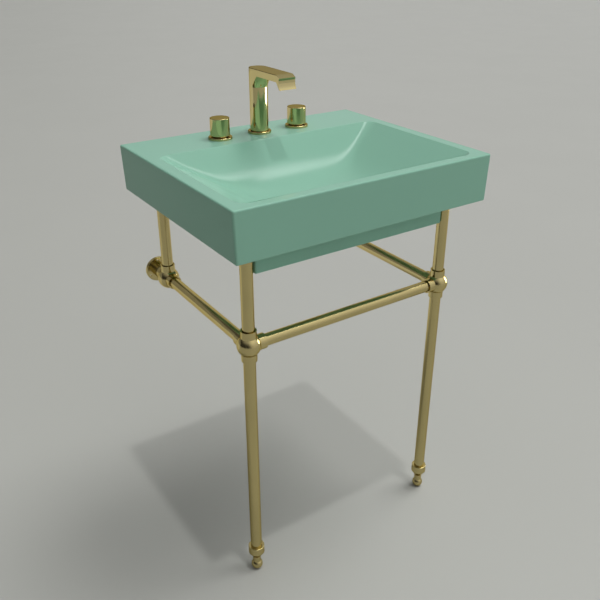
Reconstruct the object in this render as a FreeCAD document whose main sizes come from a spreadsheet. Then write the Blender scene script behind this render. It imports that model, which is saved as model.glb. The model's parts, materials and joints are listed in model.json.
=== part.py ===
import FreeCAD, Part
import os
import re

import Sketcher
from FreeCAD import Placement, Rotation, Vector

# Console sink: a glazed basin on wall bolts, a three-hole tap, a pop-up waste and a brass stand.
# Millimetres. +Z is up, the wall is the plane Y = 0 and the front faces -Y.
# The origin lies on the wall, midway between the basin's two hanger bolts.

SIZES = {
    # Fits and cuts
    "overrun": 2,
    "slip_clearance": 0.1,
    "running_clearance": 0.06,
    # Basin casting
    "basin_width": 614,
    "basin_depth": 495,
    "basin_height": 154.5,
    "skirt_height": 100.6,
    "skirt_taper": 3.3,
    "skirt_corner_radius": 4.5,
    "skirt_edge_radius": 2,
    "rim_above_bolts": 60,
    "rim_above_floor": 909.6,
    "rim_edge_radius": 3.5,
    "rim_side_width": 27,
    "rim_front_width": 24.5,
    "deck_depth": 131,
    "deck_thickness": 20,
    "bay_back_wall": 20,
    "bay_front_wall": 16,
    "post_ledge": 28,
    "tray_front_inset": 55,
    "tray_leg_gap": 1.8,
    "tray_wall": 18,
    "tray_corner_radius": 4,
    "recess_corner_radius": 14,
    "bowl_depth": 90,
    "bowl_edge_radius": 4.5,
    "bowl_floor_wall": 20,
    "floor_margin": 14,
    "bolt_spacing": 280,
    "bolt_hole_radius": 8,
    # Tap above the deck
    "tap_setback": 74,
    "tap_spread": 203.2,
    "tap_hole_radius": 17.5,
    "ring_radius": 26.8,
    "ring_thickness": 5.2,
    "ring_edge_radius": 1.5,
    "handle_radius": 21.8,
    "handle_height": 38.6,
    "handle_gap": 2.6,
    "handle_edge_radius": 1,
    "handle_bore_radius": 17,
    "handle_bore_depth": 16,
    "handle_boss_depth": 14,
    "spout_radius": 20.7,
    "spout_height": 144,
    "spout_reach": 121.5,
    "spout_edge_radius": 1,
    "arm_thickness": 14.5,
    "cove_height": 27,
    "cove_depth": 13,
    "cove_radius": 60,
    "cove_inset": 0.6,
    "cove_sink": 0.1,
    "nose_length": 15,
    "nose_drop": 29.7,
    "nose_bevel_length": 11.7,
    "nose_bevel_drop": 6,
    "nose_lean": 3.7,
    "nose_hollow_radius": 30,
    "nose_lip": 3,
    "waterway_radius": 3.5,
    "outlet_radius": 10,
    "outlet_depth": 8,
    "outlet_setback": 29,
    "outlet_face_recess": 1.5,
    "outlet_rim": 1.5,
    # Tap below the deck
    "shank_radius": 14,
    "shank_bore_radius": 9,
    "shank_engagement": 20,
    "bonnet_rise": 8,
    "stem_radius": 5,
    "stem_depth": 24,
    "gasket_radius": 24,
    "gasket_thickness": 2,
    "washer_radius": 23,
    "washer_thickness": 1.5,
    "nut_radius": 21,
    "nut_thickness": 9,
    "nut_gap": 3,
    "valve_radius": 17.5,
    "valve_height": 26,
    "valve_web": 3,
    "inlet_radius": 10.2,
    "inlet_bore_radius": 6.5,
    "inlet_length": 18,
    "tee_socket_depth": 6,
    "port_radius": 9,
    "port_reach": 26,
    "port_depth": 7,
    "link_radius": 6,
    "link_wall": 1,
    "link_nut_radius": 11,
    "link_nut_length": 10,
    # Waste
    "drain_front_inset": 185,
    "drain_hole_radius": 22.5,
    "drain_flange_radius": 29,
    "drain_flange_thickness": 3.5,
    "drain_flange_edge_radius": 1.5,
    "drain_seal_thickness": 1,
    "drain_tube_radius": 19,
    "drain_bore_radius": 16,
    "drain_throat_radius": 13.5,
    "drain_length": 74,
    "lower_gasket_radius": 33,
    "lower_gasket_thickness": 6,
    "drain_washer_radius": 32,
    "drain_washer_thickness": 1.5,
    "locknut_radius": 31,
    "locknut_thickness": 9,
    "tail_radius": 15.9,
    "tail_wall": 1.2,
    "tail_thread_step": 0.5,
    "tail_engagement": 15,
    "tail_length": 52,
    "plug_radius": 22.5,
    "plug_thickness": 3.5,
    "plug_edge_radius": 1.5,
    "plug_seat_depth": 1.5,
    "plug_gap": 0.5,
    "plug_stem_radius": 4,
    "plug_stem_tail": 16,
    "guide_depth": 22,
    "guide_thickness": 5,
    "guide_hole_radius": 3.6,
    "guide_hole_ring": 9.5,
    # Stand
    "tube_radius": 12.7,
    "tube_wall": 1.6,
    "leg_inset": 57.8,
    "leg_front_inset": 64.1,
    "post_setback": 62.2,
    "rail_below_rim": 307.7,
    "ball_radius": 24.5,
    "socket_radius": 16.2,
    "socket_reach": 34,
    "socket_depth": 18,
    "mouth_step": 1.2,
    "mouth_depth": 1.5,
    "flange_radius": 30,
    "flange_thickness": 6,
    "flange_edge_radius": 2,
    "flange_gap": 3,
    "screw_hole_radius": 2.5,
    "screw_ring_radius": 23,
    "pad_thickness": 4,
    "cup_radius": 18.2,
    "cup_edge_radius": 1.5,
    "cup_height": 32,
    "cup_taper_height": 13,
    "cup_foot_radius": 10.3,
    "cup_above_floor": 38,
    "tube_seat_height": 15,
    "foot_ball_radius": 12.9,
    "foot_flat_radius": 4.5,
    "foot_neck_radius": 9,
    "foot_neck_rise": 13,
}

# Bowl contours from the rim to the flat round the drain. Each has shares of the bowl's depth, of the runs
# that its sides, back and front make towards that flat, and of its own half width for the corner radius.
BOWL_CONTOUR_SHARES = (
    (0.00, 0.000, 0.000, 0.000, 0.078),
    (0.24, 0.170, 0.153, 0.046, 0.050),
    (0.48, 0.345, 0.306, 0.100, 0.050),
    (0.66, 0.490, 0.435, 0.156, 0.130),
    (0.80, 0.640, 0.625, 0.245, 0.320),
    (0.92, 0.810, 0.820, 0.420, 0.560),
    (1.00, 1.000, 1.000, 1.000, 0.880),
)

# Places worked out from the sizes
SKIRT_BOTTOM = "(rim_above_bolts - skirt_height)"
TRAY_BOTTOM = "(rim_above_bolts - basin_height)"
FLOOR = "(rim_above_bolts - rim_above_floor)"
BOWL_FLOOR = "(rim_above_bolts - bowl_depth)"
BAY_FRONT = "(deck_depth - bay_front_wall)"
DRAIN_SETBACK = "(basin_depth - drain_front_inset)"
LEG_X = "(basin_width / 2 - leg_inset)"
LEG_Y = "(leg_front_inset - basin_depth)"
RAIL_Z = "(rim_above_bolts - rail_below_rim)"
SOCKET_FLOOR = "(socket_reach - socket_depth)"
STACK_BOTTOM = "(-deck_thickness - gasket_thickness - washer_thickness - nut_thickness)"
VALVE_TOP = f"({STACK_BOTTOM} - nut_gap)"
PORT_Z = f"({VALVE_TOP} - valve_height / 2)"
HANDLE_BASE = "(ring_thickness + handle_gap)"
PORT_FLOOR = "(port_reach - port_depth)"

UP = Rotation()
TO_RIGHT = Rotation(Vector(0, 0, 1), Vector(1, 0, 0))
TO_LEFT = Rotation(Vector(0, 0, 1), Vector(-1, 0, 0))
TO_WALL = Rotation(Vector(0, 0, 1), Vector(0, 1, 0))
TO_FRONT = Rotation(Vector(0, 0, 1), Vector(0, -1, 0))
DOWN = Rotation(Vector(1, 0, 0), 180)

LEFT_TURN = 1
RIGHT_TURN = -1
FULL_TURN = 360
SCREW_HOLES = 3
WATER_HOLES = 4
HEX_SIDES = 6
SAME_PLACE = 0.001

doc = FreeCAD.newDocument("ConsoleSink")
sheet = doc.addObject("Spreadsheet::Sheet", "Sizes")
for row, (size_name, size) in enumerate(SIZES.items(), start=1):
    sheet.set(f"A{row}", size_name)
    sheet.set(f"B{row}", str(size))
    sheet.setAlias(f"B{row}", size_name)
doc.recompute()

nodes = []


def cells(formula):
    """Spell a formula of size names with the sheet's name before each."""
    return re.sub(r"[a-z]\w*", lambda word: f"Sizes.{word[0]}" if word[0] in SIZES else word[0], str(formula))


def value(formula):
    return float(sheet.evalExpression(str(formula)))


def bind(piece, **formulas):
    for name, formula in formulas.items():
        piece.setExpression(name, cells(formula))
    return piece


def place(piece, x=0, y=0, z=0, turn=UP):
    piece.Placement = Placement(Vector(), turn)
    for axis, formula in zip("xyz", (x, y, z)):
        piece.setExpression(f"Placement.Base.{axis}", cells(formula))
    return piece


def node(piece, label):
    """Name a finished sub-part."""
    piece.Label = label
    nodes.append(piece)
    return piece


# Sketches


def sketch_on(body, role, height=0):
    """A sketch on one of the body's own planes, raised along its normal."""
    plane = next(feature for feature in body.Origin.OriginFeatures if feature.Role == role)
    sketch = body.newObject("Sketcher::SketchObject", f"{body.Name}_sketch")
    sketch.AttachmentSupport = (plane, [""])
    sketch.MapMode = "FlatFace"
    sketch.setExpression("AttachmentOffset.Base.z", cells(height))
    return sketch


def hold(sketch, kind, formula, *target):
    """Add one constraint and bind its value to the sheet."""
    index = sketch.addConstraint(Sketcher.Constraint(kind, *target, value(formula)))
    sketch.setExpression(f"Constraints[{index}]", cells(formula))


def hold_point(sketch, edge, end, x, y):
    hold(sketch, "DistanceX", x, -1, 1, edge, end)
    hold(sketch, "DistanceY", y, -1, 1, edge, end)


def arc_between(start, stop, radius, side):
    """The short arc from start to stop that turns to the given side."""
    chord = stop - start
    across = Vector(-chord.y, chord.x, 0) * (side / chord.Length)
    centre = (start + stop) / 2 + across * (radius ** 2 - (chord.Length / 2) ** 2) ** 0.5
    first, last = (start, stop) if side == LEFT_TURN else (stop, start)
    axis = Vector(1, 0, 0)
    normal = Vector(0, 0, 1)
    angles = [axis.getAngle(point - centre) * (1 if point.y >= centre.y else -1) for point in (first, last)]
    return Part.ArcOfCircle(Part.Circle(centre, normal, radius), *angles)


def outline(sketch, corners):
    """A closed loop through corners of formulas.

    A corner is (x, y), or (x, y, radius, side) where the edge that ends there is an arc.
    """
    points = [Vector(value(corner[0]), value(corner[1]), 0) for corner in corners]
    ends = []
    for index, corner in enumerate(corners):
        start, stop = points[index - 1], points[index]
        if len(corner) == 2:
            edge = sketch.addGeometry(Part.LineSegment(start, stop), False)
            ends.append((edge, 1, 2))
            continue
        radius, side = corner[2:]
        edge = sketch.addGeometry(arc_between(start, stop, value(radius), side), False)
        ends.append((edge, 1, 2) if side == LEFT_TURN else (edge, 2, 1))
        hold(sketch, "Radius", radius, edge)
    for index, corner in enumerate(corners):
        edge, _, last = ends[index]
        following, first, _ = ends[(index + 1) % len(ends)]
        sketch.addConstraint(Sketcher.Constraint("Coincident", edge, last, following, first))
        hold_point(sketch, edge, last, corner[0], corner[1])
    return sketch


def circle(sketch, radius, x=0, y=0):
    centre = Vector(value(x), value(y), 0)
    edge = sketch.addGeometry(Part.Circle(centre, Vector(0, 0, 1), value(radius)), False)
    hold(sketch, "Radius", radius, edge)
    hold_point(sketch, edge, 3, x, y)
    return sketch


def rectangle(left, right, low, high):
    return [(left, low), (right, low), (right, high), (left, high)]


def rounded(left, right, low, high, radius):
    """A rectangle's corners with rounded ones."""
    return [
        (f"{right} - {radius}", low),
        (right, f"{low} + {radius}", radius, LEFT_TURN),
        (right, f"{high} - {radius}"),
        (f"{right} - {radius}", high, radius, LEFT_TURN),
        (f"{left} + {radius}", high),
        (left, f"{high} - {radius}", radius, LEFT_TURN),
        (left, f"{low} + {radius}"),
        (f"{left} + {radius}", low, radius, LEFT_TURN),
    ]


# Features


def new_body(name):
    return doc.addObject("PartDesign::Body", name)


def extrude(body, kind, sketch, length, reverse=False, midplane=False):
    """Pad or pocket a sketch."""
    feature = body.newObject(f"PartDesign::{kind}", f"{body.Name}_{kind.lower()}")
    feature.Profile = sketch
    feature.Reversed = reverse
    feature.SideType = "Symmetric" if midplane else "One side"
    return bind(feature, Length=length)


def loft(body, kind, sketches):
    feature = body.newObject(f"PartDesign::{kind}", f"{body.Name}_loft")
    feature.Profile = sketches[0]
    feature.Sections = sketches[1:]
    return feature


def round_edges(body, radius, chosen):
    """Fillet the body's edges that pass a test."""
    doc.recompute()
    base = body.Tip
    names = [f"Edge{index}" for index, edge in enumerate(base.Shape.Edges, start=1) if chosen(edge.BoundBox)]
    fillet = body.newObject("PartDesign::Fillet", f"{body.Name}_fillet")
    fillet.Base = (base, names)
    return bind(fillet, Radius=radius)


def around(body, sketch, kind, count):
    """Repeat a pad or pocket evenly about the body's Z axis."""
    pattern = body.newObject("PartDesign::PolarPattern", f"{body.Name}_pattern")
    pattern.Originals = [kind]
    pattern.Axis = (sketch, ["N_Axis"])
    pattern.Angle = FULL_TURN
    pattern.Occurrences = count
    body.Tip = pattern
    return pattern


def turned(name, corners):
    """A body of revolution about its Z axis from (radius, height) corners."""
    body = new_body(name)
    sketch = outline(sketch_on(body, "XZ_Plane"), corners)
    feature = body.newObject("PartDesign::Revolution", f"{body.Name}_turn")
    feature.Profile = sketch
    feature.ReferenceAxis = (sketch, ["V_Axis"])
    feature.Angle = FULL_TURN
    return body


def ring(name, inner, outer, low, high):
    return turned(name, rectangle(inner, outer, low, high))


def cylinder(name, radius, length, **where):
    return place(bind(doc.addObject("Part::Cylinder", name), Radius=radius, Height=length), **where)


def joined(name, pieces):
    fuse = doc.addObject("Part::MultiFuse", name)
    fuse.Shapes = pieces
    return fuse


def cut(name, base, tool):
    piece = doc.addObject("Part::Cut", name)
    piece.Base = base
    piece.Tool = tool
    return piece


def group(name, pieces):
    """Separate solids that share one node."""
    compound = doc.addObject("Part::Compound", name)
    compound.Links = pieces
    return compound


def hex_nut(name, radius, bore, thickness, **where):
    prism = bind(doc.addObject("Part::Prism", f"{name}_hexagon"), Circumradius=radius, Height=thickness)
    prism.Polygon = HEX_SIDES
    place(prism, **where)
    hole = cylinder(f"{name}_hole", bore, thickness, **where)
    return cut(name, prism, hole)


# Basin


def basin():
    body = new_body("basin")
    rim_half = "(basin_width / 2)"
    foot_half = "(basin_width / 2 - skirt_taper)"
    front_view = [
        (f"-{foot_half}", SKIRT_BOTTOM),
        (foot_half, SKIRT_BOTTOM),
        (rim_half, "rim_above_bolts"),
        (f"-{rim_half}", "rim_above_bolts"),
    ]
    extrude(body, "Pad", outline(sketch_on(body, "XZ_Plane"), front_view), "basin_depth")
    front = -value("basin_depth")
    round_edges(
        body,
        "skirt_corner_radius",
        lambda box: abs(box.YMax - front) < SAME_PLACE and box.ZLength > box.XLength,
    )
    bottom = value(SKIRT_BOTTOM)
    round_edges(
        body,
        "skirt_edge_radius",
        lambda box: abs(box.ZMax - bottom) < SAME_PLACE and box.YMin < -SAME_PLACE,
    )
    rim = value("rim_above_bolts")
    round_edges(
        body, "rim_edge_radius", lambda box: abs(box.ZMin - rim) < SAME_PLACE and box.YMin < -SAME_PLACE
    )
    add_tray(body)
    sink_bowl(body)
    open_underside(body)
    drill_basin(body)
    return node(body, "basin")


def add_tray(body):
    half = f"({LEG_X} - tube_radius - tray_leg_gap)"
    front = "(tray_front_inset - basin_depth)"
    corners = rounded(f"-{half}", half, front, f"-{BAY_FRONT}", "tray_corner_radius")
    sketch = outline(sketch_on(body, "XY_Plane", TRAY_BOTTOM), corners)
    extrude(body, "Pad", sketch, f"{BOWL_FLOOR} - {TRAY_BOTTOM}")
    inner = rounded(
        f"-({half} - tray_wall)",
        f"({half} - tray_wall)",
        f"({front} + tray_wall)",
        f"(-{BAY_FRONT} - tray_wall)",
        "recess_corner_radius",
    )
    recess = outline(sketch_on(body, "XY_Plane", TRAY_BOTTOM), inner)
    extrude(body, "Pocket", recess, f"{BOWL_FLOOR} - bowl_floor_wall - {TRAY_BOTTOM}", reverse=True)


def sink_bowl(body):
    """Lower the bowl through its contours and ease its edge."""
    flat = "(drain_flange_radius + floor_margin)"
    half_width = "(basin_width / 2 - rim_side_width)"
    front_edge = "(basin_depth - rim_front_width)"
    side_run = f"({half_width} - {flat})"
    back_run = f"({DRAIN_SETBACK} - {flat} - deck_depth)"
    front_run = f"({front_edge} - {DRAIN_SETBACK} - {flat})"
    sketches = []
    for depth_share, side_share, back_share, front_share, corner_share in BOWL_CONTOUR_SHARES:
        half = f"({half_width} - {side_share} * {side_run})"
        low = f"({front_share} * {front_run} - {front_edge})"
        high = f"(-deck_depth - {back_share} * {back_run})"
        corners = rounded(f"-{half}", half, low, high, f"({corner_share} * {half})")
        sketch = sketch_on(body, "XY_Plane", f"rim_above_bolts - {depth_share} * bowl_depth")
        sketches.append(outline(sketch, corners))
    loft(body, "SubtractiveLoft", sketches)
    rim = value("rim_above_bolts")
    right = value(half_width) + SAME_PLACE
    round_edges(
        body,
        "bowl_edge_radius",
        lambda box: abs(box.ZMin - rim) < SAME_PLACE and -right < box.XMin and box.XMax < right,
    )


def open_underside(body):
    """Open the bay behind the bowl, below the deck, where the tap's nuts and valves sit."""
    half = f"({LEG_X} - post_ledge)"
    corners = rectangle(f"-{half}", half, f"-{BAY_FRONT}", "-bay_back_wall")
    sketch = outline(sketch_on(body, "XY_Plane", SKIRT_BOTTOM), corners)
    extrude(body, "Pocket", sketch, "skirt_height - deck_thickness", reverse=True)


def drill_basin(body):
    """Drill the three tap holes, the waste hole and the two hanger holes."""
    deck = sketch_on(body, "XY_Plane", "rim_above_bolts")
    for x in ("-tap_spread / 2", 0, "tap_spread / 2"):
        circle(deck, "tap_hole_radius", x, "-tap_setback")
    extrude(body, "Pocket", deck, "deck_thickness + overrun")
    waste = circle(sketch_on(body, "XY_Plane", BOWL_FLOOR), "drain_hole_radius", 0, f"-{DRAIN_SETBACK}")
    extrude(body, "Pocket", waste, "bowl_floor_wall + overrun")
    back = sketch_on(body, "XZ_Plane")
    for x in ("-bolt_spacing / 2", "bolt_spacing / 2"):
        circle(back, "bolt_hole_radius", x, 0)
    extrude(body, "Pocket", back, "bay_back_wall + overrun", reverse=True)


# Tap


def base_ring(name, **where):
    """The round plate that covers a tap hole."""
    body = turned(
        name,
        [
            ("shank_radius + slip_clearance", 0),
            ("ring_radius", 0),
            ("ring_radius", "ring_thickness - ring_edge_radius"),
            ("ring_radius - ring_edge_radius", "ring_thickness", "ring_edge_radius", LEFT_TURN),
            ("shank_radius + slip_clearance", "ring_thickness"),
        ],
    )
    return node(place(body, **where), name)


def deck_fixing(side, **where):
    """Gasket, washer and nut that clamp a shank below the deck."""
    hole = "shank_radius + slip_clearance"
    gasket_low = "(-deck_thickness - gasket_thickness)"
    washer_low = f"({gasket_low} - washer_thickness)"
    gasket = ring(f"{side}_gasket", hole, "gasket_radius", gasket_low, "-deck_thickness")
    node(place(gasket, **where), f"{side}_gasket")
    washer = ring(f"{side}_washer", hole, "washer_radius", washer_low, gasket_low)
    node(place(washer, **where), f"{side}_washer")
    nut_place = dict(where, z=f"{where['z']} + {STACK_BOTTOM}")
    node(hex_nut(f"{side}_nut", "nut_radius", hole, "nut_thickness", **nut_place), f"{side}_nut")


def handle(name, **where):
    """A plain round handle, hollow below, with a blind hole for its stem."""
    stem_hole = "stem_radius + slip_clearance"
    boss_top = "handle_bore_depth + handle_boss_depth"
    body = turned(
        name,
        [
            (0, boss_top),
            (stem_hole, boss_top),
            (stem_hole, "handle_bore_depth"),
            ("handle_bore_radius", "handle_bore_depth"),
            ("handle_bore_radius", 0),
            ("handle_radius - handle_edge_radius", 0),
            ("handle_radius", "handle_edge_radius", "handle_edge_radius", LEFT_TURN),
            ("handle_radius", "handle_height - handle_edge_radius"),
            ("handle_radius - handle_edge_radius", "handle_height", "handle_edge_radius", LEFT_TURN),
            (0, "handle_height"),
        ],
    )
    where = dict(where, z=f"{where['z']} + {HANDLE_BASE}")
    return node(place(body, **where), name)


def stem(name, **where):
    """The valve's spindle, from its bore below the deck up into the handle."""
    top = f"({HANDLE_BASE} + handle_bore_depth + handle_boss_depth)"
    where = dict(where, z=f"{where['z']} - stem_depth")
    return node(cylinder(name, "stem_radius", f"{top} + stem_depth", **where), name)


def valve_body(name, towards_spout, **where):
    """Bonnet and shank through the deck, a housing below it, an inlet tail and a port to the spout."""
    bonnet_top = f"({HANDLE_BASE} + bonnet_rise)"
    housing_low = f"({VALVE_TOP} - valve_height)"
    tail_low = f"({housing_low} - inlet_length)"
    bore_top = "(-stem_depth - valve_web)"
    turning = turned(
        f"{name}_turning",
        [
            (0, tail_low),
            ("inlet_radius", tail_low),
            ("inlet_radius", housing_low),
            ("valve_radius", housing_low),
            ("valve_radius", VALVE_TOP),
            ("shank_radius", VALVE_TOP),
            ("shank_radius", bonnet_top),
            (0, bonnet_top),
        ],
    )
    place(turning, **where)
    port_place = dict(where, z=f"{where['z']} + {PORT_Z}", turn=towards_spout)
    port = cylinder(f"{name}_port", "port_radius", "port_reach", **port_place)
    stem_bore = cylinder(
        f"{name}_stem_bore",
        "stem_radius + running_clearance",
        f"stem_depth + {bonnet_top} + overrun",
        **dict(where, z=f"{where['z']} - stem_depth"),
    )
    inlet_bore = cylinder(
        f"{name}_inlet_bore",
        "inlet_bore_radius",
        f"{bore_top} - {tail_low} + overrun",
        **dict(where, z=f"{where['z']} + {tail_low} - overrun"),
    )
    holes = joined(f"{name}_holes", [stem_bore, inlet_bore, bored_port(name, towards_spout, **where)])
    return node(cut(name, joined(f"{name}_solid", [turning, port]), holes), name)


def bored_port(name, direction, **where):
    """The socket in a port, seen as the space that a link tube fills, with its waterway."""
    sign = "+" if direction == TO_RIGHT else "-"
    z = f"{where['z']} + {PORT_Z}"
    socket = cylinder(
        f"{name}_socket",
        "link_radius + slip_clearance",
        "port_depth + overrun",
        **dict(where, x=f"{where['x']} {sign} {PORT_FLOOR}", z=z, turn=direction),
    )
    way = cylinder(f"{name}_way", "link_radius - link_wall", "port_reach", **dict(where, z=z, turn=direction))
    return joined(f"{name}_port_bore", [socket, way])


def link_tube(name, start, **where):
    """The straight pipe from a valve's port to the tee under the spout."""
    length = f"tap_spread / 2 - 2 * {PORT_FLOOR}"
    body = ring(name, "link_radius - link_wall", "link_radius", 0, length)
    place(body, **dict(where, x=start, z=f"{where['z']} + {PORT_Z}", turn=TO_RIGHT))
    return node(body, name)


def mixing_tee(**where):
    """The fitting at the foot of the spout's shank, where both valves' water meets."""
    socket_low = f"({VALVE_TOP} - tee_socket_depth)"
    base = f"({VALVE_TOP} - valve_height)"
    body_place = dict(where, z=f"{where['z']} + {base}")
    solids = [cylinder("mixing_tee_body", "valve_radius", "valve_height", **body_place)]
    holes = [
        cylinder(
            "mixing_tee_socket",
            "shank_radius + slip_clearance",
            "tee_socket_depth + overrun",
            **dict(where, z=f"{where['z']} + {socket_low}"),
        ),
        cylinder(
            "mixing_tee_cavity",
            "shank_bore_radius",
            "valve_height - valve_web",
            **dict(where, z=f"{where['z']} + {base} + valve_web"),
        ),
    ]
    for side, direction in (("left", TO_LEFT), ("right", TO_RIGHT)):
        port_place = dict(where, z=f"{where['z']} + {PORT_Z}", turn=direction)
        solids.append(cylinder(f"mixing_tee_{side}_port", "port_radius", "port_reach", **port_place))
        holes.append(bored_port(f"mixing_tee_{side}", direction, **where))
    solid = joined("mixing_tee_solid", solids)
    return node(cut("mixing_tee", solid, joined("mixing_tee_holes", holes)), "mixing_tee")


def spout(**where):
    """A round column with a flat arm as wide as itself, its end bevelled and turned down."""
    body = new_body("spout_casting")
    column = circle(sketch_on(body, "XY_Plane", "ring_thickness"), "spout_radius")
    extrude(body, "Pad", column, "spout_height - ring_thickness")
    bevel_end = "(spout_reach - nose_lean)"
    underside = "(spout_height - arm_thickness)"
    lip = "(spout_height - nose_drop)"
    profile = [
        (0, underside),
        (0, "spout_height"),
        (f"-({bevel_end} - nose_bevel_length)", "spout_height"),
        (f"-{bevel_end}", "spout_height - nose_bevel_drop"),
        ("-spout_reach", lip, "nose_hollow_radius", RIGHT_TURN),
        ("nose_lip - spout_reach", lip),
        ("nose_length - spout_reach", underside),
    ]
    arm = outline(sketch_on(body, "YZ_Plane"), profile)
    extrude(body, "Pad", arm, "2 * spout_radius", midplane=True)
    top = value("spout_height")
    round_edges(
        body, "spout_edge_radius", lambda box: box.ZMin > top - SAME_PLACE and box.YLength > SAME_PLACE
    )
    shank_hole = circle(sketch_on(body, "XY_Plane", "ring_thickness"), "shank_radius + slip_clearance")
    extrude(body, "Pocket", shank_hole, "shank_engagement", reverse=True)
    riser = circle(sketch_on(body, "XY_Plane", "ring_thickness"), "shank_bore_radius")
    extrude(body, "Pocket", riser, f"{underside} - ring_thickness + outlet_depth", reverse=True)
    outlet_y = "(outlet_setback - spout_reach)"
    outlet = circle(sketch_on(body, "XY_Plane", underside), "outlet_radius + slip_clearance", 0, outlet_y)
    extrude(body, "Pocket", outlet, "outlet_depth", reverse=True)
    waterway = circle(sketch_on(body, "XZ_Plane"), "waterway_radius", 0, f"{underside} + arm_thickness / 2")
    extrude(body, "Pocket", waterway, f"-{outlet_y}", reverse=True)
    place(body, **where)
    node(joined("spout_body", [body, spout_cove(underside, **where)]), "spout_body")
    insert = turned(
        "spout_outlet",
        [
            (0, "outlet_face_recess"),
            ("outlet_radius - outlet_rim", "outlet_face_recess"),
            ("outlet_radius - outlet_rim", 0),
            ("outlet_radius", 0),
            ("outlet_radius", "outlet_depth / 2"),
            (0, "outlet_depth / 2"),
        ],
    )
    outlet_place = dict(where, y=f"{where['y']} + {outlet_y}", z=f"{where['z']} + {underside}")
    node(place(insert, **outlet_place), "spout_outlet")
    shank = ring(
        "spout_shank",
        "shank_bore_radius",
        "shank_radius",
        f"{VALVE_TOP} - tee_socket_depth",
        "ring_thickness + shank_engagement",
    )
    node(place(shank, **where), "spout_shank")


def spout_cove(underside, **where):
    """The shallow hollow bracket between the column's front and the arm, as wide as the arm."""
    reach = "(spout_radius + cove_depth - cove_sink)"
    low = f"({underside} - cove_height)"
    half = "(spout_radius - cove_inset)"
    turning = turned(
        "spout_cove_turning",
        [
            ("shank_radius", low),
            ("spout_radius - cove_sink", low),
            (reach, underside, "cove_radius", RIGHT_TURN),
            ("shank_radius", underside),
        ],
    )
    place(turning, **where)
    front = doc.addObject("Part::Box", "spout_cove_front")
    bind(front, Length=f"2 * {half}", Width=reach, Height="cove_height")
    place(front, x=f"-{half}", y=f"{where['y']} - {reach}", z=f"{where['z']} + {low}")
    cove = doc.addObject("Part::Common", "spout_cove")
    cove.Base = turning
    cove.Tool = front
    return cove


def tap():
    deck = dict(x=0, y="-tap_setback", z="rim_above_bolts")
    base_ring("spout_base_ring", **deck)
    spout(**deck)
    deck_fixing("spout", **deck)
    mixing_tee(**deck)
    nuts = []
    sides = (("hot", "-tap_spread / 2", TO_RIGHT), ("cold", "tap_spread / 2", TO_LEFT))
    for side, x, towards_spout in sides:
        where = dict(deck, x=x)
        base_ring(f"{side}_base_ring", **where)
        handle(f"{side}_handle", **where)
        stem(f"{side}_stem", **where)
        valve_body(f"{side}_valve_body", towards_spout, **where)
        deck_fixing(side, **where)
        start = f"{x} + {PORT_FLOOR}" if side == "hot" else PORT_FLOOR
        link_tube(f"{side}_link_tube", start, **deck)
        ends = ((f"{x}", towards_spout), ("0", TO_LEFT if side == "hot" else TO_RIGHT))
        for origin, direction in ends:
            sign = "+" if direction == TO_RIGHT else "-"
            nut = hex_nut(
                f"link_nut_{len(nuts)}",
                "link_nut_radius",
                "link_radius + slip_clearance",
                "link_nut_length",
                **dict(deck, x=f"{origin} {sign} port_reach", z=f"{deck['z']} + {PORT_Z}", turn=direction),
            )
            nuts.append(nut)
    node(group("link_nuts", nuts), "link_nuts")


# Waste


def waste():
    flange_low = f"({BOWL_FLOOR} + drain_seal_thickness)"
    where = dict(y=f"-{DRAIN_SETBACK}", z=flange_low)
    hole = "drain_tube_radius + slip_clearance"
    seal = ring("drain_seal", hole, "drain_flange_radius", "-drain_seal_thickness", 0)
    node(place(seal, **where), "drain_seal")
    node(place(drain_body(), **where), "drain_body")
    below_floor = "(-drain_seal_thickness - bowl_floor_wall)"
    gasket_low = f"({below_floor} - lower_gasket_thickness)"
    washer_low = f"({gasket_low} - drain_washer_thickness)"
    gasket = ring("drain_lower_gasket", hole, "lower_gasket_radius", gasket_low, below_floor)
    node(place(gasket, **where), "drain_lower_gasket")
    washer = ring("drain_washer", hole, "drain_washer_radius", washer_low, gasket_low)
    node(place(washer, **where), "drain_washer")
    nut_place = dict(where, z=f"{flange_low} + {washer_low} - locknut_thickness")
    node(hex_nut("drain_locknut", "locknut_radius", hole, "locknut_thickness", **nut_place), "drain_locknut")
    node(place(tailpiece(), **where), "drain_tailpiece")
    node(place(plug_guide(), **dict(where, z=f"{flange_low} - guide_depth")), "plug_guide")
    node(place(plug(), **where), "plug")


def drain_body():
    """Flange with a seat for the plug, a bore with a step for the guide and a socket for the tailpiece."""
    seat = "(drain_flange_thickness - plug_seat_depth)"
    recess = "plug_radius + plug_gap"
    tail_hole = "tail_radius - tail_thread_step + slip_clearance"
    tail_top = "tail_engagement - drain_length"
    edge = "drain_flange_edge_radius"
    return turned(
        "drain_body",
        [
            ("drain_bore_radius", seat),
            ("drain_bore_radius", "-guide_depth"),
            ("drain_throat_radius", "-guide_depth"),
            ("drain_throat_radius", tail_top),
            (tail_hole, tail_top),
            (tail_hole, "-drain_length"),
            ("drain_tube_radius", "-drain_length"),
            ("drain_tube_radius", 0),
            ("drain_flange_radius", 0),
            ("drain_flange_radius", f"drain_flange_thickness - {edge}"),
            (f"drain_flange_radius - {edge}", "drain_flange_thickness", edge, LEFT_TURN),
            (recess, "drain_flange_thickness"),
            (recess, seat),
        ],
    )


def tailpiece():
    """The outlet pipe, with a thinner threaded top that screws into the drain body up to its shoulder."""
    bore = "tail_radius - tail_wall"
    thread = "tail_radius - tail_thread_step"
    low = "-drain_length - tail_length"
    thread_top = "tail_engagement - drain_length"
    return turned(
        "drain_tailpiece",
        [
            (bore, low),
            ("tail_radius", low),
            ("tail_radius", "-drain_length"),
            (thread, "-drain_length"),
            (thread, thread_top),
            (bore, thread_top),
        ],
    )


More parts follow.
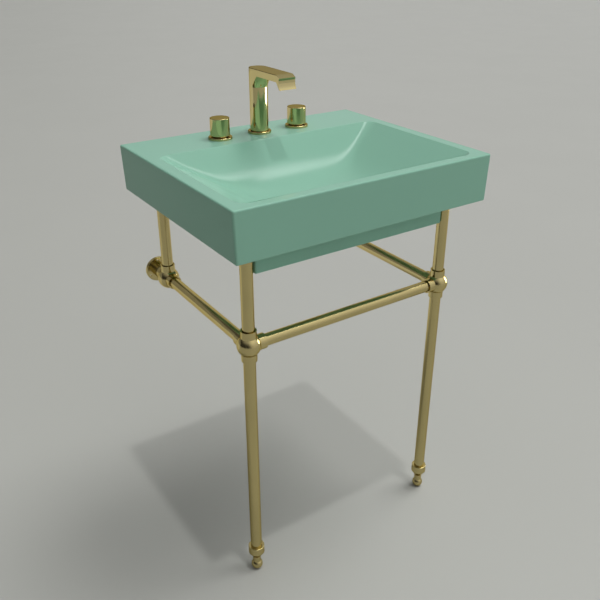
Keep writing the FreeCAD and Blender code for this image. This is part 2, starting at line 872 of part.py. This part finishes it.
def plug_guide():
    """A disc on the drain body's step, bored for the plug's stem, with holes for the water."""
    body = new_body("plug_guide")
    disc = circle(sketch_on(body, "XY_Plane"), "drain_bore_radius - slip_clearance")
    circle(disc, "plug_stem_radius + running_clearance")
    extrude(body, "Pad", disc, "guide_thickness")
    doc.recompute()
    hole = circle(sketch_on(body, "XY_Plane"), "guide_hole_radius", "guide_hole_ring", 0)
    water_hole = extrude(body, "Pocket", hole, "guide_thickness", reverse=True)
    around(body, hole, water_hole, WATER_HOLES)
    return body


def plug():
    """The pop-up plug, closed on its seat, with its guide stem."""
    seat = "(drain_flange_thickness - plug_seat_depth)"
    top = f"({seat} + plug_thickness)"
    low = "(-guide_depth - plug_stem_tail)"
    return turned(
        "plug",
        [
            (0, low),
            ("plug_stem_radius", low),
            ("plug_stem_radius", seat),
            ("plug_radius", seat),
            ("plug_radius", f"{top} - plug_edge_radius"),
            ("plug_radius - plug_edge_radius", top, "plug_edge_radius", LEFT_TURN),
            (0, top),
        ],
    )


# Stand


def tube(name, length, **where):
    body = ring(name, "tube_radius - tube_wall", "tube_radius", 0, length)
    return node(place(body, **where), name)


def ball_joint(name, directions, **where):
    """A ball with a socket for a tube in each direction."""
    solids = [place(bind(doc.addObject("Part::Sphere", f"{name}_ball"), Radius="ball_radius"), **where)]
    bores = []
    for index, direction in enumerate(directions):
        aim = dict(where, turn=direction)
        solids.append(cylinder(f"{name}_socket_{index}", "socket_radius", "socket_reach", **aim))
        bores.append(socket_space(f"{name}_bore_{index}", **aim))
    return node(cut(name, joined(f"{name}_solid", solids), joined(f"{name}_bores", bores)), name)


def socket_space(name, **where):
    """The bore of a socket with a wider step at its mouth."""
    hole = "tube_radius + slip_clearance"
    step = f"({hole} + mouth_step)"
    mouth = "(socket_reach - mouth_depth)"
    top = "(socket_reach + overrun)"
    corners = [(0, SOCKET_FLOOR), (hole, SOCKET_FLOOR), (hole, mouth), (step, mouth), (step, top), (0, top)]
    return place(turned(name, corners), **where)


def wall_flange(name, **where):
    """A round plate with a hub for the wall stub and three screw holes."""
    hub = "(post_setback - socket_reach - flange_gap)"
    hole = "tube_radius + slip_clearance"
    body = turned(
        name,
        [
            (0, 0),
            ("flange_radius", 0),
            ("flange_radius", "flange_thickness - flange_edge_radius"),
            ("flange_radius - flange_edge_radius", "flange_thickness", "flange_edge_radius", LEFT_TURN),
            ("socket_radius", "flange_thickness"),
            ("socket_radius", hub),
            (hole, hub),
            (hole, "flange_thickness"),
            (0, "flange_thickness"),
        ],
    )
    doc.recompute()
    sketch = circle(sketch_on(body, "XY_Plane"), "screw_hole_radius", 0, "screw_ring_radius")
    screw_hole = extrude(body, "Pocket", sketch, "flange_thickness + overrun", reverse=True)
    around(body, sketch, screw_hole, SCREW_HOLES)
    return node(place(body, turn=TO_FRONT, **where), name)


def foot_cup(name, **where):
    """The cup on a leg's end, drawn in below to guide the foot's neck."""
    neck_hole = "foot_neck_radius + running_clearance"
    tube_hole = "tube_radius + slip_clearance"
    body = turned(
        name,
        [
            (neck_hole, 0),
            ("cup_foot_radius", 0),
            ("cup_radius", "cup_taper_height"),
            ("cup_radius", "cup_height - cup_edge_radius"),
            ("cup_radius - cup_edge_radius", "cup_height", "cup_edge_radius", LEFT_TURN),
            (tube_hole, "cup_height"),
            (tube_hole, "tube_seat_height"),
            (neck_hole, "tube_seat_height"),
        ],
    )
    return node(place(body, **where), name)


def ball_foot(name, **where):
    """A levelling foot: a ball with a small flat and a neck that slides in the cup."""
    centre = "sqrt(foot_ball_radius ^ 2 - foot_flat_radius ^ 2)"
    neck_low = f"{centre} + sqrt(foot_ball_radius ^ 2 - foot_neck_radius ^ 2)"
    neck_top = "cup_above_floor + foot_neck_rise"
    body = turned(
        name,
        [
            (0, 0),
            ("foot_flat_radius", 0),
            ("foot_neck_radius", neck_low, "foot_ball_radius", LEFT_TURN),
            ("foot_neck_radius", neck_top),
            (0, neck_top),
        ],
    )
    return node(place(body, **where), name)


def stand():
    pads = []
    for side, sign, inward in (("left", "-", TO_RIGHT), ("right", "", TO_LEFT)):
        x = f"{sign}{LEG_X}"
        front = dict(x=x, y=LEG_Y, z=RAIL_Z)
        rear = dict(x=x, y="-post_setback", z=RAIL_Z)
        ball_joint(f"{side}_front_joint", (UP, DOWN, inward, TO_WALL), **front)
        ball_joint(f"{side}_rear_joint", (UP, TO_FRONT, TO_WALL), **rear)
        post_length = f"{SKIRT_BOTTOM} - pad_thickness - {RAIL_Z} - {SOCKET_FLOOR}"
        foot_of_post = f"{RAIL_Z} + {SOCKET_FLOOR}"
        tube(f"{side}_upper_leg", post_length, **dict(front, z=foot_of_post))
        tube(f"{side}_rear_post", post_length, **dict(rear, z=foot_of_post))
        for post, place_of_post in (("upper_leg", front), ("rear_post", rear)):
            where = dict(place_of_post, z=f"{SKIRT_BOTTOM} - pad_thickness")
            pads.append(cylinder(f"{side}_{post}_pad", "tube_radius", "pad_thickness", **where))
        cup_z = f"({FLOOR} + cup_above_floor)"
        seat = f"({cup_z} + tube_seat_height)"
        tube(f"{side}_lower_leg", f"{RAIL_Z} - {SOCKET_FLOOR} - {seat}", **dict(front, z=seat))
        foot_cup(f"{side}_foot_cup", **dict(front, z=cup_z))
        ball_foot(f"{side}_ball_foot", **dict(front, z=FLOOR))
        rail_start = f"{LEG_Y} + {SOCKET_FLOOR}"
        rail_length = f"-post_setback - {LEG_Y} - 2 * {SOCKET_FLOOR}"
        tube(f"{side}_side_rail", rail_length, **dict(front, y=rail_start, turn=TO_WALL))
        stub_length = f"post_setback - {SOCKET_FLOOR} - flange_thickness"
        stub_start = f"{SOCKET_FLOOR} - post_setback"
        tube(f"{side}_wall_stub", stub_length, **dict(rear, y=stub_start, turn=TO_WALL))
        wall_flange(f"{side}_wall_flange", x=x, z=RAIL_Z)
    span = f"2 * {LEG_X} - 2 * {SOCKET_FLOOR}"
    tube("front_rail", span, x=f"{SOCKET_FLOOR} - {LEG_X}", y=LEG_Y, z=RAIL_Z, turn=TO_RIGHT)
    node(group("post_pads", pads), "post_pads")


def check_document():
    """Stop if any object failed or any sub-part has no sound shape."""
    for item in doc.Objects:
        if "Invalid" in item.State or "Error" in item.State:
            raise RuntimeError(f"{item.Label} failed: {item.State}")
    for piece in nodes:
        if piece.Shape.isNull() or not piece.Shape.isValid() or not piece.Shape.Solids:
            raise RuntimeError(f"{piece.Label} has no valid shape")


basin()
tap()
waste()
stand()
doc.recompute()
check_document()
os.makedirs("parts", exist_ok=True)
for piece in nodes:
    piece.Shape.exportStep(f"parts/{piece.Label}.step")
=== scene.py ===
"""Looks of a console sink: a mint glazed basin over a satin brass stand, with a polished three-hole tap."""

import json
import math
from typing import NamedTuple

import bpy
import numpy as np
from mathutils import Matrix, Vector


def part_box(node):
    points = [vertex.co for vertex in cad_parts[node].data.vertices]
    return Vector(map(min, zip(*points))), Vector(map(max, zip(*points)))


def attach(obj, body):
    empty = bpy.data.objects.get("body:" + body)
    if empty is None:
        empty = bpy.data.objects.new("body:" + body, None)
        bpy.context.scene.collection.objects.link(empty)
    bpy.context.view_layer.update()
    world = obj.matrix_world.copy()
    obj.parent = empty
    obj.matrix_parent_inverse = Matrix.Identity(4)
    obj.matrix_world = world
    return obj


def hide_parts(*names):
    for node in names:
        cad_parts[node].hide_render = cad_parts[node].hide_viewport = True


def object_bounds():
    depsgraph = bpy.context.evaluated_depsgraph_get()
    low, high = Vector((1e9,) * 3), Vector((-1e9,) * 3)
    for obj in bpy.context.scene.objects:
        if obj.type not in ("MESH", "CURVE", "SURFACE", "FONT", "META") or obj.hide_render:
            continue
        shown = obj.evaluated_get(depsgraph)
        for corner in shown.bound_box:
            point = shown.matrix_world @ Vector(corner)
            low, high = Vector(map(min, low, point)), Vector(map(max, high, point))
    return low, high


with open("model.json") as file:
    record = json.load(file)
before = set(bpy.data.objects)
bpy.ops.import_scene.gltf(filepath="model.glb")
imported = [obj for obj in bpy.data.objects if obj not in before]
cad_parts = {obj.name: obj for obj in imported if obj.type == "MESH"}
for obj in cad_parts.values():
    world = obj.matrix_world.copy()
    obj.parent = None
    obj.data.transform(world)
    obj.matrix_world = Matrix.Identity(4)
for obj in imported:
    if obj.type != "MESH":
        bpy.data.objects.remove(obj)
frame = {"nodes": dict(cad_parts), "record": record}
cad_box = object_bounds()
nodes = frame["nodes"]
subparts = frame["record"]["subparts"]

# Camera, fitted to the photograph's 600 pixel frame
CAMERA_PLACE = (-0.84013, -1.48550, 0.47664)
CAMERA_TURN_DEG = (62.5822, -0.0113, -33.9910)
CAMERA_LENS_MM = 43.102
SENSOR_MM = 36.0


class Finish(NamedTuple):
    """A finish: its linear colour, the ends of its roughness, and how its surface varies."""

    colour: tuple
    roughness: tuple
    metallic: float = 0.0
    dark_share: float = 0.96  # what its darker patches keep of the colour
    patches: float = 14.0  # to the metre
    grains: float = 900.0  # to the metre
    relief: float = 0.000002  # height of the grains, in metres


# Finishes
BRASS = {"metallic": 1.0, "dark_share": 0.95, "patches": 18.0}
GLAZE = Finish((0.262, 0.504, 0.385), (0.17, 0.19), dark_share=0.985, patches=5.0, grains=160.0)
SATIN_BRASS = Finish((0.54, 0.45, 0.21), (0.17, 0.20), grains=1400.0, **BRASS)
POLISHED_BRASS = Finish((0.62, 0.53, 0.26), (0.08, 0.10), grains=1400.0, **BRASS)
PLAIN_BRASS = Finish((0.58, 0.44, 0.21), (0.34, 0.46), grains=600.0, **BRASS)
STEEL = Finish((0.52, 0.52, 0.52), (0.30, 0.42), metallic=1.0)
RUBBER = Finish((0.025, 0.025, 0.026), (0.65, 0.80), relief=0.00004)
PLASTIC = Finish((0.60, 0.60, 0.57), (0.35, 0.45))
FLOOR = Finish((0.43, 0.435, 0.405), (0.46, 0.48), dark_share=0.985, patches=1.5, grains=300.0)
GLAZE_SPECULAR = 0.17
BRASS_EDGE = (0.70, 0.60, 0.34, 1.0)
NOISE_ENDS = (0.3, 0.7)
SHEENS_PER_PATCH = 3
BUMP_STRENGTH = 0.25

# Bowl sizes in metres, as in the solid
BOWL_HALF_WIDTH = 0.280
BOWL_DEPTH = 0.090
BOWL_EDGE_RADIUS = 0.0045
DECK_DEPTH = 0.131
RIM_FRONT_WIDTH = 0.0245
DRAIN_FRONT_INSET = 0.185
DRAIN_FLAT_RADIUS = 0.043

# Bowl places, from the basin's box
basin_low, basin_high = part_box("basin")
BOWL_RIM = basin_high.z
BOWL_FLOOR = BOWL_RIM - BOWL_DEPTH
BOWL_BACK = basin_high.y - DECK_DEPTH
BOWL_FRONT = basin_low.y + RIM_FRONT_WIDTH
DRAIN_Y = basin_low.y + DRAIN_FRONT_INSET

# Bowl contours from the rim to the flat round the drain. Each has shares of the bowl's depth, of the runs
# that its sides, back and front make towards that flat, and of its own half width for the corner radius.
BOWL_CONTOUR_SHARES = (
    (0.00, 0.000, 0.000, 0.000, 0.078),
    (0.24, 0.170, 0.150, 0.046, 0.050),
    (0.48, 0.335, 0.300, 0.100, 0.050),
    (0.68, 0.470, 0.435, 0.156, 0.120),
    (0.83, 0.610, 0.620, 0.245, 0.330),
    (0.94, 0.780, 0.820, 0.420, 0.580),
    (1.00, 1.000, 1.000, 1.000, 0.880),
)

# Bowl skin: its fineness, and how often it is eased down the bowl and round it
BOWL_ROWS = 81
BOWL_COLUMNS = 720
ARC_POINTS = 49
EASINGS_DOWN = 140
EASINGS_ROUND = 40
EASE_STEP = 0.5

# Shares of the rows over which the easing round the bowl comes in, and from which it dies out
EASE_IN_SHARES = (0.2, 0.6)
EASE_OUT_SHARE = 0.8

# Bowl skin: how far it reaches past the end of the edge's round, and margins to find the solid's own skin
SKIN_OVERLAP = 0.0004
RIM_MARGIN = 0.0005
FLOOR_MARGIN = 0.0002

# Studio: a dim room, with soft panels as (direction, cosine at its edge, cosine where it is full, strength)
ROOM_LEVEL = 0.04
PANELS = (
    ((0.41, -0.05, 0.91), 0.960, 0.99, 8.2),
    ((0.10, -0.10, 1.00), 0.30, 0.95, 0.45),
    ((0.75, -0.80, 0.30), 0.20, 1.00, 0.60),
    ((0.70, 0.68, 0.20), 0.80, 0.97, 0.40),
)
WHITE = (1, 1, 1, 1)

# Lamps that show in the brass alone: one at the right, and a broad dim one in place of the pale wall behind.
# Each has its name, place, the point it faces, width and height, spread in degrees and watts.
BRASS_LAMPS = (
    ("side_lamp", (1.36, -0.50, -0.12), (0.0, -0.10, 0.05), (0.55, 0.60), 110, 4.0),
    ("wall_lamp", (0.0, 0.30, -0.36), (0.0, -1.0, -0.36), (3.2, 0.98), 180, 2.6),
)

# A faint lamp above, for the soft shadows below the tap
SUN_FROM = (0.03, -0.16, 0.99)
SUN_ANGLE_DEG = 2
SUN_STRENGTH = 0.55

FLOOR_SIZE = 60


# Shader helpers


def feed(tree, socket, value):
    """Link a socket to another one, or set its value."""
    if isinstance(value, bpy.types.NodeSocket):
        tree.links.new(value, socket)
    else:
        socket.default_value = value


def add(tree, kind, **values):
    """A shader node with its sockets set or linked."""
    made = tree.nodes.new(kind)
    for name, value in values.items():
        feed(tree, made.inputs[name.replace("_", " ")], value)
    return made


def noise(tree, cells):
    """Noise through the object's own space, with so many cells to the metre."""
    place = tree.nodes.new("ShaderNodeTexCoord").outputs["Object"]
    return add(tree, "ShaderNodeTexNoise", Vector=place, Scale=cells, Detail=0.0).outputs["Fac"]


def map_range(tree, value, start, end, low, high):
    """A node that draws the values between start and end out to run from low to high."""
    return add(
        tree, "ShaderNodeMapRange", Value=value, From_Min=start, From_Max=end, To_Min=low, To_Max=high
    )


def shades(tree, factor, colour, dark_share):
    """The colour and a darker shade of it, mixed by a factor."""
    ramp = add(tree, "ShaderNodeValToRGB", Fac=factor)
    dark, light = ramp.color_ramp.elements
    dark.position, light.position = NOISE_ENDS
    dark.color = (*(dark_share * part for part in colour), 1)
    light.color = (*colour, 1)
    return ramp.outputs["Color"]


# Finishes


def finished(name, finish):
    """A material with patches of tone, an uneven sheen and a fine grain in relief, and its shader."""
    material = bpy.data.materials.new(name)
    material.use_nodes = True
    tree = material.node_tree
    shader = tree.nodes["Principled BSDF"]
    tone = shades(tree, noise(tree, finish.patches), finish.colour, finish.dark_share)
    sheen = map_range(tree, noise(tree, SHEENS_PER_PATCH * finish.patches), *NOISE_ENDS, *finish.roughness)
    grain = add(
        tree,
        "ShaderNodeBump",
        Height=noise(tree, finish.grains),
        Strength=BUMP_STRENGTH,
        Distance=finish.relief,
    )
    feed(tree, shader.inputs["Base Color"], tone)
    feed(tree, shader.inputs["Roughness"], sheen.outputs["Result"])
    feed(tree, shader.inputs["Normal"], grain.outputs["Normal"])
    feed(tree, shader.inputs["Metallic"], finish.metallic)
    return material, shader


def glaze():
    material, shader = finished("mint_glaze", GLAZE)
    shader.inputs["Specular IOR Level"].default_value = GLAZE_SPECULAR
    return material


def brass(name, finish):
    material, shader = finished(name, finish)
    shader.inputs["Specular Tint"].default_value = BRASS_EDGE
    return material


FINISHES = {
    "glaze": glaze(),
    "satin_brass": brass("satin_brass", SATIN_BRASS),
    "polished_brass": brass("polished_brass", POLISHED_BRASS),
    "plain_brass": brass("plain_brass", PLAIN_BRASS),
    "steel": finished("stamped_steel", STEEL)[0],
    "rubber": finished("black_rubber", RUBBER)[0],
    "white_plastic": finished("white_plastic", PLASTIC)[0],
}


def dress_nodes():
    """Give each CAD node the finish of its slot in the record."""
    for subpart in subparts:
        piece = nodes[subpart["node"]]
        piece.data.materials.clear()
        piece.data.materials.append(FINISHES[subpart["material_slot"]])


# Basin


def contour(depth_share, side_share, back_share, front_share, corner_share):
    """A rounded rectangle of the bowl, as evenly spaced points from the middle of its front."""
    half = BOWL_HALF_WIDTH - side_share * (BOWL_HALF_WIDTH - DRAIN_FLAT_RADIUS)
    back = BOWL_BACK - back_share * (BOWL_BACK - DRAIN_Y - DRAIN_FLAT_RADIUS)
    front = BOWL_FRONT + front_share * (DRAIN_Y - DRAIN_FLAT_RADIUS - BOWL_FRONT)
    radius = corner_share * half
    right, high, low = half - radius, back - radius, front + radius
    line = [(0.0, front)]
    for quarter, (x, y) in enumerate(((right, low), (right, high), (-right, high), (-right, low)), start=-1):
        turns = (quarter + np.linspace(0, 1, ARC_POINTS)) * math.pi / 2
        line.extend(zip(x + radius * np.cos(turns), y + radius * np.sin(turns)))
    line = np.array(line + line[:1])
    along = np.concatenate(([0], np.cumsum(np.linalg.norm(np.diff(line, axis=0), axis=1))))
    places = np.linspace(0, along[-1], BOWL_COLUMNS, endpoint=False)
    x, y = (np.interp(places, along, line[:, axis]) for axis in range(2))
    return np.column_stack((x, y, np.full(BOWL_COLUMNS, BOWL_RIM - depth_share * BOWL_DEPTH)))


def row_shares():
    """The shares of every row, on smooth curves through those of the contours."""
    shares = np.array(BOWL_CONTOUR_SHARES)
    depth_and_back = shares[:, [0, 2]]
    knots = np.concatenate(([0], np.cumsum(np.linalg.norm(np.diff(depth_and_back, axis=0), axis=1))))
    slopes = np.gradient(shares, knots, axis=0)
    places = np.linspace(0, knots[-1], BOWL_ROWS)
    before = np.minimum(np.searchsorted(knots, places, side="right") - 1, len(knots) - 2)
    after = before + 1
    span = (knots[after] - knots[before])[:, None]
    t = (places - knots[before])[:, None] / span
    return (
        (1 + 2 * t) * (1 - t) ** 2 * shares[before]
        + t * (1 - t) ** 2 * span * slopes[before]
        + t**2 * (3 - 2 * t) * shares[after]
        + t**2 * (t - 1) * span * slopes[after]
    )


def bowl_rows():
    """Rows of points down the bowl, eased, from the end of the edge's round to the flat round the drain."""
    rows = np.array([contour(*shares) for shares in row_shares()])
    inner = rows[1:-1]
    for _ in range(EASINGS_DOWN):
        inner += EASE_STEP * ((rows[2:] + rows[:-2]) / 2 - inner)
    down_share = np.linspace(0, 1, BOWL_ROWS)[1:-1, None, None]
    start, full = EASE_IN_SHARES
    coming_in = np.clip((down_share - start) / (full - start), 0, 1)
    dying_out = np.clip((1 - down_share) / (1 - EASE_OUT_SHARE), 0, 1)
    for _ in range(EASINGS_ROUND):
        beside = (np.roll(inner, 1, axis=1) + np.roll(inner, -1, axis=1)) / 2
        inner += EASE_STEP * coming_in * dying_out * (beside - inner)
    down = rows[1] - rows[0]
    down /= np.linalg.norm(down, axis=1, keepdims=True)
    round_end = BOWL_EDGE_RADIUS * np.tan(np.arcsin(-down[:, 2:]) / 2)
    rows[1] = rows[0] + (round_end - SKIN_OVERLAP) * down
    return rows[1:]


def facing_of(rows):
    """The upward normal at each point of the rows."""
    across = np.roll(rows, -1, axis=1) - np.roll(rows, 1, axis=1)
    facing = np.cross(across, np.gradient(rows, axis=0))
    facing *= np.sign(facing[:, :, 2:])
    return facing / np.linalg.norm(facing, axis=2, keepdims=True)


def solid_without_skin():
    """Points, triangles and corner normals of the basin's solid, without the skin of its bowl."""
    solid = nodes["basin"].data
    points = np.array([vertex.co for vertex in solid.vertices])
    triangles = np.array([face.vertices for face in solid.polygons])
    normals = np.array([corner.vector for corner in solid.corner_normals]).reshape(-1, 3, 3)
    x, y, z = points.T
    in_plan = (abs(x) < BOWL_HALF_WIDTH) & (BOWL_FRONT < y) & (y < BOWL_BACK)
    in_bowl = in_plan & (BOWL_FLOOR - FLOOR_MARGIN < z) & (z < BOWL_RIM - RIM_MARGIN)
    heights = z[triangles]
    below_round = heights.min(axis=1) < BOWL_RIM - BOWL_EDGE_RADIUS
    above_flat = heights.max(axis=1) > BOWL_FLOOR + FLOOR_MARGIN
    kept = ~(in_bowl[triangles].all(axis=1) & below_round & above_flat)
    used, corners = np.unique(triangles[kept], return_inverse=True)
    return points[used], corners.reshape(-1, 3), normals[kept].reshape(-1, 3)


def glazed_basin():
    """The basin's solid with a finer skin in its bowl."""
    points, triangles, normals = solid_without_skin()
    rows = bowl_rows()
    here = np.arange(rows.shape[0] * rows.shape[1]).reshape(rows.shape[:2])
    beside = np.roll(here, -1, axis=1)
    cells = np.stack((here[:-1], beside[:-1], beside[1:], here[1:]), axis=2).reshape(-1, 4)
    cell_normals = facing_of(rows).reshape(-1, 3)[cells].reshape(-1, 3)

    mesh = bpy.data.meshes.new("glazed_basin")
    mesh.from_pydata(
        np.concatenate((points, rows.reshape(-1, 3))).tolist(),
        [],
        triangles.tolist() + (cells + len(points)).tolist(),
    )
    mesh.polygons.foreach_set("use_smooth", [True] * len(mesh.polygons))
    mesh.normals_split_custom_set(np.concatenate((normals, cell_normals)).tolist())
    mesh.materials.append(FINISHES["glaze"])
    piece = bpy.data.objects.new("glazed_basin", mesh)
    bpy.context.scene.collection.objects.link(piece)
    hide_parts("basin")
    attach(piece, "sink")


# Stage


def floor():
    bpy.ops.mesh.primitive_plane_add(size=FLOOR_SIZE, location=(0, 0, cad_box[0].z))
    piece = bpy.context.object
    piece.name = "floor"
    piece.data.materials.append(finished("pale_floor", FLOOR)[0])


def room():
    """A dim room with soft panels of light above, at the right and behind."""
    world = bpy.data.worlds.new("studio")
    bpy.context.scene.world = world
    world.use_nodes = True
    tree = world.node_tree
    direction = tree.nodes.new("ShaderNodeTexCoord").outputs["Generated"]
    level = ROOM_LEVEL
    for towards, edge, full, strength in PANELS:
        facing = tree.nodes.new("ShaderNodeVectorMath")
        facing.operation = "DOT_PRODUCT"
        feed(tree, facing.inputs[0], direction)
        feed(tree, facing.inputs[1], Vector(towards).normalized())
        panel = map_range(tree, facing.outputs["Value"], edge, full, 0.0, strength)
        panel.interpolation_type = "SMOOTHSTEP"
        total = tree.nodes.new("ShaderNodeMath")
        total.operation = "ADD"
        feed(tree, total.inputs[0], level)
        feed(tree, total.inputs[1], panel.outputs["Result"])
        level = total.outputs["Value"]
    background = tree.nodes["Background"]
    feed(tree, background.inputs["Strength"], level)
    feed(tree, background.inputs["Color"], WHITE)


def turned_from(direction):
    """The turn of a lamp whose light comes from a direction."""
    return direction.to_track_quat("Z", "Y").to_euler()


def brass_lamps():
    """Lamps that light the brass nodes alone."""
    brass_pieces = bpy.data.collections.new("brass_pieces")
    for subpart in subparts:
        if subpart["material_slot"].endswith("brass"):
            brass_pieces.objects.link(nodes[subpart["node"]])
    for name, place, aim, size, spread_deg, watts in BRASS_LAMPS:
        light = bpy.data.lights.new(name, "AREA")
        light.shape = "RECTANGLE"
        light.size, light.size_y = size
        light.spread = math.radians(spread_deg)
        light.energy = watts
        lamp = bpy.data.objects.new(name, light)
        lamp.location = place
        lamp.rotation_euler = turned_from(Vector(place) - Vector(aim))
        lamp.visible_camera = False
        lamp.light_linking.receiver_collection = brass_pieces
        bpy.context.scene.collection.objects.link(lamp)


def sun():
    light = bpy.data.lights.new("sun", "SUN")
    light.energy = SUN_STRENGTH
    light.angle = math.radians(SUN_ANGLE_DEG)
    lamp = bpy.data.objects.new("sun", light)
    lamp.rotation_euler = turned_from(Vector(SUN_FROM))
    bpy.context.scene.collection.objects.link(lamp)


def camera():
    lens = bpy.data.cameras.new("camera")
    lens.sensor_width = SENSOR_MM
    lens.lens = CAMERA_LENS_MM
    piece = bpy.data.objects.new("camera", lens)
    piece.location = CAMERA_PLACE
    piece.rotation_euler = [math.radians(turn) for turn in CAMERA_TURN_DEG]
    bpy.context.scene.collection.objects.link(piece)
    bpy.context.scene.camera = piece


dress_nodes()
glazed_basin()
floor()
room()
brass_lamps()
sun()
camera()
bpy.context.scene.view_settings.view_transform = "Standard"
